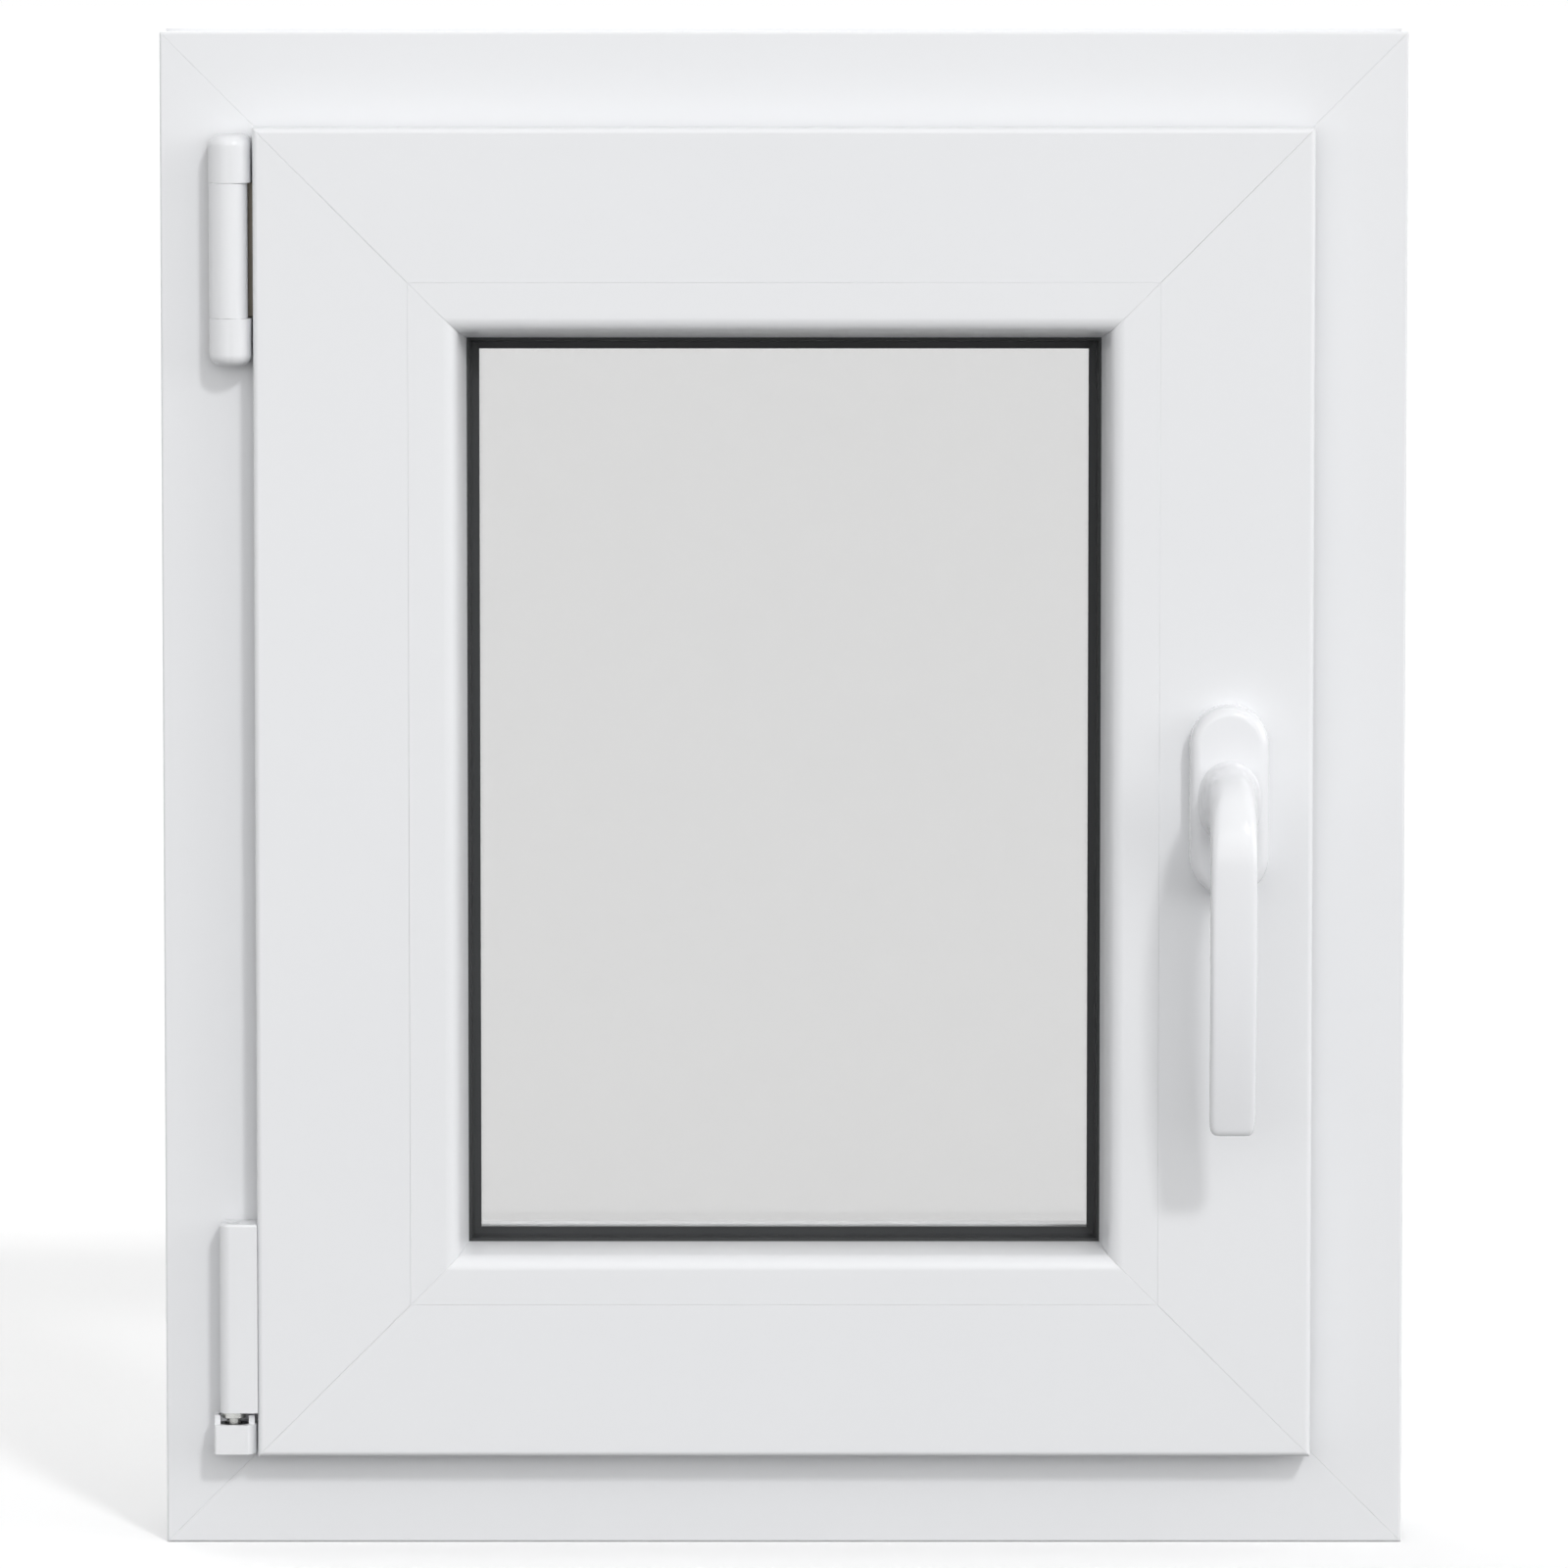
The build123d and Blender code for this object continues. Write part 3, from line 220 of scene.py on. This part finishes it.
# Zinc-plated and chromated fittings: dull brown bronze with a cloudy bloom; the base colour is darker than
# the plating itself, painted shade for the fittings that show in the hinge gaps and the pivot notch
chromatedZincPaintedShade = platedMetal("chromatedZincPaintedShade", {
    "colour": "#5A554C", "mottle": "#757068", "mottleSize": 9, "spangle": 0.1, "roughness": 0.36, "along": 2,
    "lineSize": 0.35, "lineRun": 25, "lineDepth": 0.006})
# Bright zinc screws and ball pin: silver, with a faint swirl from the rolling
brightZinc = platedMetal("brightZincScrew", {
    "colour": "#B3B4B0", "mottle": "#CBCCCA", "mottleSize": 3, "spangle": 0.1, "roughness": 0.28, "along": 1,
    "lineSize": 0.25, "lineRun": 3, "lineDepth": 0.004})

# Clear float glass: a little grey through its thickness, faintly wavy, lamps pass straight through it
glassLook = {"tint": "#E7E7E7", "ior": 1.52, "waveSize": 160, "waveDepth": 0.02, "bump": 0.3,
             "lampTint": "#E8E8E8"}
floatGlass, glassTree, glassShader = startMaterial("floatGlass")
glassShader.inputs["Base Color"].default_value = hexColour(glassLook["tint"])
glassShader.inputs["Roughness"].default_value = 0.0
glassShader.inputs["IOR"].default_value = glassLook["ior"]
glassShader.inputs["Transmission Weight"].default_value = 1.0
glassPlace = addNode(glassTree, "ShaderNodeTexCoord").outputs["Object"]
glassWave = addNode(glassTree, "ShaderNodeTexNoise",
                    values={"Scale": perMetre(glassLook["waveSize"]), "Detail": 0.0},
                    links={"Vector": glassPlace})
glassBump = addNode(glassTree, "ShaderNodeBump",
                    values={"Strength": glassLook["bump"], "Distance": glassLook["waveDepth"] * mm},
                    links={"Height": glassWave.outputs["Fac"]})
glassTree.links.new(glassBump.outputs["Normal"], glassShader.inputs["Normal"])
lampWay = addNode(glassTree, "ShaderNodeBsdfTransparent", values={"Color": hexColour(glassLook["lampTint"])})
lampRay = addNode(glassTree, "ShaderNodeLightPath").outputs["Is Shadow Ray"]
glassOut = glassTree.nodes["Material Output"]
glassMix = addNode(glassTree, "ShaderNodeMixShader", links={0: lampRay, 1: glassShader.outputs["BSDF"],
                                                            2: lampWay.outputs["BSDF"]})
glassTree.links.new(glassMix.outputs["Shader"], glassOut.inputs["Surface"])
print("finishes ready")

slotFinish = {"upvc_white": pvcUpright, "steel": galvanised, "glass": floatGlass, "gasket_black": epdm,
              "spacer": millAluminium, "sealant": polysulphide, "nylon": polyamide,
              "handle_white": handleCoat, "hinge_white": hingeAbs, "zinc": chromatedZincPaintedShade, "screw": brightZinc}
nodeSlot = {row["node"]: row["material_slot"] for row in frame["record"]["subparts"]}
acrossNodes = ["frame_sill", "frame_head", "sash_bottom_rail", "sash_top_rail", "glazing_bead_bottom",
               "glazing_bead_top"]
ownFinish = {"ball_pin": brightZinc, **{node: pvcAcross for node in acrossNodes}}


def finishFor(node):
    return ownFinish.get(node, slotFinish[nodeSlot[node]])


for node, thing in nodes.items():
    for place in thing.material_slots:
        place.material = finishFor(node)
print("CAD nodes finished")


def placePiece(name, bm, node, finish):  # a new mesh that rides with a CAD node
    mesh = bpy.data.meshes.new(name)
    for face in bm.faces:
        face.smooth = True
    bm.to_mesh(mesh)
    bm.free()
    mesh.materials.append(finish)
    piece = bpy.data.objects.new(name, mesh)
    scene.collection.objects.link(piece)
    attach(piece, bodies[node])
    return piece


# Profiles, covers and fittings: every sharp edge gets a fine break, and the mitre joints a wider one
edgeBreak = {"upvc_white": 0.1, "hinge_white": 0.12, "handle_white": 0.2, "zinc": 0.2}
breakLook = {"mitre": 0.17, "mitreTurn": 0.45, "segments": 2, "sharpFrom": 35, "weld": 0.002, "flat": 0.4}


def breakEdges(bm, width, clamped, mitresOnly=False):
    sharp = [edge for edge in bm.edges if edge.calc_face_angle(0) > radians(breakLook["sharpFrom"])]
    if mitresOnly:  # a mitre's cut face looks half sideways and half up or down
        sharp = [edge for edge in sharp
                 if any(abs(face.normal.x * face.normal.z) > breakLook["mitreTurn"]
                        for face in edge.link_faces)]
    bmesh.ops.bevel(bm, geom=sharp, offset=width * mm, offset_type="OFFSET", affect="EDGES", profile=0.5,
                    material=-1, segments=breakLook["segments"], clamp_overlap=clamped)


brokenNodes = [node for node in nodes if nodeSlot[node] in edgeBreak and node != "handle_lever"]
for node in brokenNodes:
    extruded = nodeSlot[node] == "upvc_white"
    bm = bmesh.new()
    bm.from_mesh(nodes[node].data)
    bmesh.ops.remove_doubles(bm, verts=bm.verts, dist=breakLook["weld"] * mm)
    bmesh.ops.dissolve_limit(bm, angle_limit=radians(breakLook["flat"]), verts=bm.verts, edges=bm.edges)
    if extruded:
        breakEdges(bm, breakLook["mitre"], False, mitresOnly=True)
        bm.normal_update()
    breakEdges(bm, edgeBreak[nodeSlot[node]], not extruded)
    piece = placePiece(node + "_finished", bm, node, finishFor(node))
    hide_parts(node)
    piece.modifiers.new("faceNormals", "WEIGHTED_NORMAL").keep_sharp = False
print("edges broken on", len(brokenNodes), "pieces")

# Lever: an oval neck that flares on the rosette and bends down into a flat bar, bowed back towards the sash
lever = {
    # outer y and z, inner y and z from the axis, half width, corner radius of the section
    "rings": [
        (-22.3, 10.2, -22.3, -10.2, 10.2, 11.0),
        (-26.6, 10.2, -26.6, -10.2, 10.2, 11.0),
        (-27.05, 15.2, -27.05, -15.6, 11.8, 13.0),
        (-27.4, 15.0, -27.4, -15.4, 11.6, 13.0),
        (-28.8, 14.2, -28.8, -14.6, 10.7, 12.0),
        (-31.5, 13.6, -31.5, -13.9, 9.9, 11.0),
        (-37.0, 13.1, -36.5, -13.2, 9.2, 9.5),
        (-44.0, 12.5, -43.0, -12.9, 8.8, 8.0),
        (-51.0, 11.5, -48.8, -13.0, 8.6, 6.6),
        (-57.7, 9.6, -53.7, -13.8, 8.55, 6.6),
        (-63.6, 6.4, -57.6, -15.5, 8.5, 6.2),
        (-68.5, 1.8, -60.5, -18.2, 8.5, 5.6),
        (-71.9, -4.4, -62.2, -21.9, 8.5, 4.9),
        (-73.6, -11.0, -62.9, -26.5, 8.5, 4.2),
        (-74.0, -19.0, -63.0, -31.0, 8.5, 3.6),
        (-74.0, -30.0, -63.1, -37.0, 8.5, 3.1),
        (-73.7, -44.0, -62.9, -47.0, 8.5, 2.6),
        (-72.4, -64.5, -61.9, -66.0, 8.45, 2.6),
        (-69.8, -84.5, -59.9, -85.7, 8.4, 2.6),
        (-66.3, -102.0, -57.1, -103.0, 8.35, 2.6),
        (-63.9, -111.0, -55.2, -112.0, 8.3, 2.6),
        (-63.1, -114.6, -54.7, -115.4, 8.0, 2.6),
        (-62.3, -116.3, -55.1, -116.7, 7.0, 2.2),
        (-61.2, -116.9, -56.0, -117.0, 5.6, 1.4),
    ],
    "points": 16, "smoothing": 2,
}
handleTurn = next(joint for joint in frame["record"]["behaviour"]["joints"] if joint["name"] == "handle_turn")
axisX, axisZ = [handleTurn["pos_m"][way] / mm for way in (0, 2)]


def ringPoints(ring):  # one section of the lever, from an oval to a rounded oblong
    outerY, outerZ, innerY, innerZ, wide, corner = ring
    outer = Vector((axisX, outerY, axisZ + outerZ))
    inner = Vector((axisX, innerY, axisZ + innerZ))
    deep = (outer - inner).length / 2
    cornerWide, cornerDeep = min(corner, wide), min(corner, deep)
    points = []
    for step in range(lever["points"]):
        turn = 2 * pi * (step + 0.5) / lever["points"]
        across = copysign(wide - cornerWide, cos(turn)) + cornerWide * cos(turn)
        along = copysign(deep - cornerDeep, sin(turn)) + cornerDeep * sin(turn)
        middle = (outer + inner) / 2 + (outer - inner) * along / (2 * deep)
        points.append((middle + Vector((across, 0, 0))) * mm)
    return points


bm = bmesh.new()
loop = [bm.verts.new(point) for point in ringPoints(lever["rings"][0])]
cap = bm.faces.new(loop)
for ring in lever["rings"][1:]:
    grown = bmesh.ops.extrude_face_region(bm, geom=[cap])["geom"]
    bmesh.ops.delete(bm, geom=[cap], context="FACES_ONLY")
    cap = next(item for item in grown if isinstance(item, bmesh.types.BMFace))
    for vert, point in zip(cap.verts, ringPoints(ring)):
        vert.co = point
bmesh.ops.holes_fill(bm, edges=[edge for edge in bm.edges if edge.is_boundary], sides=0)
bmesh.ops.recalc_face_normals(bm, faces=bm.faces)
leverPiece = placePiece("handle_lever_shape", bm, "handle_lever", handleCoat)
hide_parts("handle_lever")
softening = leverPiece.modifiers.new("softening", "SUBSURF")
softening.levels = lever["smoothing"]
softening.render_levels = lever["smoothing"]
print("lever shaped")

# Wear washers in the upper hinge's two joints: rings that stand just inside the barrel
washer = {"inset": 0.14, "bore": 4.6, "steps": 48, "weld": 0.001}
barrelLow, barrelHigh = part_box("stay_sleeve")
hingeJoints = [(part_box("upper_hinge_bottom_cap")[1][2], barrelLow[2]),
               (barrelHigh[2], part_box("upper_hinge_top_cap")[0][2])]
pinLow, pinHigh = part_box("upper_hinge_pin")
pinCentre = (Vector(pinLow) + Vector(pinHigh)) / 2
washerOut = pinCentre.x - barrelLow[0] - washer["inset"] * mm
bm = bmesh.new()
for low, high in hingeJoints:
    middle = Vector((pinCentre.x, pinCentre.y, (low + high) / 2))
    ends = [(washer["bore"] * mm, low), (washerOut, low), (washerOut, high), (washer["bore"] * mm, high)]
    corners = [bm.verts.new((pinCentre.x + radius, pinCentre.y, height)) for radius, height in ends]
    section = bm.faces.new(corners)
    bmesh.ops.spin(bm, geom=[section], cent=middle, axis=(0, 0, 1), angle=2 * pi, steps=washer["steps"],
                   use_merge=True)
bmesh.ops.remove_doubles(bm, verts=bm.verts, dist=washer["weld"] * mm)
bmesh.ops.recalc_face_normals(bm, faces=bm.faces)
placePiece("upper_hinge_washers", bm, "upper_hinge_top_cap", hingeAbs)
print("hinge washers turned")

# Soft lip of the glazing beads: a flat strip that closes the joint to the sash just below the face
lip = {"below": 0.16, "overlap": 0.3, "thick": 0.2}
beadLow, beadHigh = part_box("glazing_bead_left")[0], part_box("glazing_bead_right")[1]
lipFront = beadLow[1] + lip["below"] * mm
bm = bmesh.new()
loops = []
for reach in (lip["overlap"] * mm, -lip["overlap"] * mm):
    left, right = beadLow[0] - reach, beadHigh[0] + reach
    low, high = beadLow[2] - reach, beadHigh[2] + reach
    around = [(left, low), (right, low), (right, high), (left, high)]
    loop = [bm.verts.new((x, lipFront, z)) for x, z in around]
    loops += [bm.edges.new((loop[i - 1], loop[i])) for i in range(len(loop))]
strip = bmesh.ops.bridge_loops(bm, edges=loops)["faces"]
grown = bmesh.ops.extrude_face_region(bm, geom=strip)["geom"]
backVerts = [item for item in grown if isinstance(item, bmesh.types.BMVert)]
bmesh.ops.translate(bm, vec=(0, lip["thick"] * mm, 0), verts=backVerts)
bmesh.ops.recalc_face_normals(bm, faces=bm.faces)
placePiece("glazing_bead_lip", bm, "glazing_bead_left", pvcUpright)
print("bead lip laid")

# Pale floor: white to the eye, a quieter bounce for the light on the window
stage = {"floorSize": 40.0, "seen": "#F8F8F8", "bounce": "#808080", "lift": 0.14}
bm = bmesh.new()
bmesh.ops.create_grid(bm, x_segments=1, y_segments=1, size=stage["floorSize"] / 2)
floorMesh = bpy.data.meshes.new("studioFloor")
bm.to_mesh(floorMesh)
bm.free()
floor = bpy.data.objects.new("studioFloor", floorMesh)
scene.collection.objects.link(floor)
paint, paintTree, paintShader = startMaterial("mattWhiteFloor")
paintPath = addNode(paintTree, "ShaderNodeLightPath")
eyeOrMirror = addNode(paintTree, "ShaderNodeMath", {"operation": "MAXIMUM"},
                      links={0: paintPath.outputs["Is Camera Ray"], 1: paintPath.outputs["Is Glossy Ray"]})
seenRay = addNode(paintTree, "ShaderNodeMath", {"operation": "MAXIMUM"},
                  links={0: eyeOrMirror.outputs[0], 1: paintPath.outputs["Is Transmission Ray"]})
paintTint = addNode(paintTree, "ShaderNodeMix", {"data_type": "RGBA"},
                    {colourA: hexColour(stage["bounce"]), colourB: hexColour(stage["seen"])},
                    {"Factor": seenRay.outputs[0]})
paintLift = addNode(paintTree, "ShaderNodeMath", {"operation": "MULTIPLY"}, {1: stage["lift"]},
                    {0: seenRay.outputs[0]})
paintShader.inputs["Emission Color"].default_value = hexColour(white)
paintShader.inputs["Roughness"].default_value = 1.0
paintShader.inputs["Specular IOR Level"].default_value = 0.0
paintTree.links.new(paintTint.outputs[colourOut], paintShader.inputs["Base Color"])
paintTree.links.new(paintLift.outputs[0], paintShader.inputs["Emission Strength"])
floorMesh.materials.append(paint)

# Sky of the studio: white behind the window, a soft wash on it that is strongest from the sides
wash = {"low": 0.12, "level": 1.52, "high": 0.34}
world = bpy.data.worlds.new("studioWash")
scene.world = world
world.use_nodes = True
worldTree = world.node_tree
worldOut = worldTree.nodes["World Output"]
backdrop = worldTree.nodes["Background"]
backdrop.inputs["Color"].default_value = hexColour(white)
worldPlace = addNode(worldTree, "ShaderNodeTexCoord").outputs["Generated"]
worldHeight = addNode(worldTree, "ShaderNodeSeparateXYZ", links={"Vector": worldPlace}).outputs["Z"]
below = addNode(worldTree, "ShaderNodeMapRange",
                values={"From Min": -1.0, "From Max": 0.0, "To Min": wash["low"], "To Max": wash["level"]},
                links={"Value": worldHeight})
above = addNode(worldTree, "ShaderNodeMapRange",
                values={"From Min": 0.0, "From Max": 1.0, "To Min": 0.0,
                        "To Max": wash["high"] - wash["level"]},
                links={"Value": worldHeight})
washLevel = addNode(worldTree, "ShaderNodeMath", {"operation": "ADD"},
                    links={0: below.outputs["Result"], 1: above.outputs["Result"]})
washLight = addNode(worldTree, "ShaderNodeBackground", links={"Strength": washLevel.outputs[0]})
worldPath = addNode(worldTree, "ShaderNodeLightPath")
worldEye = addNode(worldTree, "ShaderNodeMath", {"operation": "MAXIMUM"},
                   links={0: worldPath.outputs["Is Camera Ray"], 1: worldPath.outputs["Is Glossy Ray"]})
worldSeen = addNode(worldTree, "ShaderNodeMath", {"operation": "MAXIMUM"},
                    links={0: worldEye.outputs[0], 1: worldPath.outputs["Is Transmission Ray"]})
worldMix = addNode(worldTree, "ShaderNodeMixShader",
                   links={0: worldSeen.outputs[0], 1: washLight.outputs["Background"],
                          2: backdrop.outputs["Background"]})
worldTree.links.new(worldMix.outputs["Shader"], worldOut.inputs["Surface"])

# Small key from the upper right with a soft haze, wide fills from the right, the front and outdoors
lamps = {
    "keySun": {"from": (0.375, -1.0, 0.76), "spread": 6, "strength": 0.86},
    "keyHaze": {"from": (0.45, -1.0, 0.65), "spread": 40, "strength": 0.14},
    "frontFill": {"from": (-0.1, -1.0, 0.05), "spread": 60, "strength": 0.84},
    "sideFill": {"from": (1.0, -0.3, 0.15), "spread": 50, "strength": 1.05},
    "backFill": {"from": (-0.5, 1.0, 0.35), "spread": 60, "strength": 1.15},
}
for name, lamp in lamps.items():
    light = bpy.data.lights.new(name, "SUN")
    light.angle = radians(lamp["spread"])
    light.energy = lamp["strength"]
    holder = bpy.data.objects.new(name, light)
    holder.location = lamp["from"]
    holder.rotation_euler = (-holder.location).to_track_quat("-Z", "Y").to_euler()
    holder.visible_transmission = False  # the panes pass the lamps by their shadow rays alone
    scene.collection.objects.link(holder)
print("stage lit")

# Camera at the photograph's angle: straight on, from a little above
eye = {"at": (0.0, -4.0, 0.671), "towards": (0.0, 0.0, 0.2779), "lens": 254.63, "farthest": 100}
camera = bpy.data.objects.new("camera", bpy.data.cameras.new("camera"))
camera.location = eye["at"]
camera.rotation_euler = (Vector(eye["towards"]) - camera.location).to_track_quat("-Z", "Y").to_euler()
camera.data.lens = eye["lens"]
camera.data.clip_end = eye["farthest"]
scene.collection.objects.link(camera)
scene.camera = camera
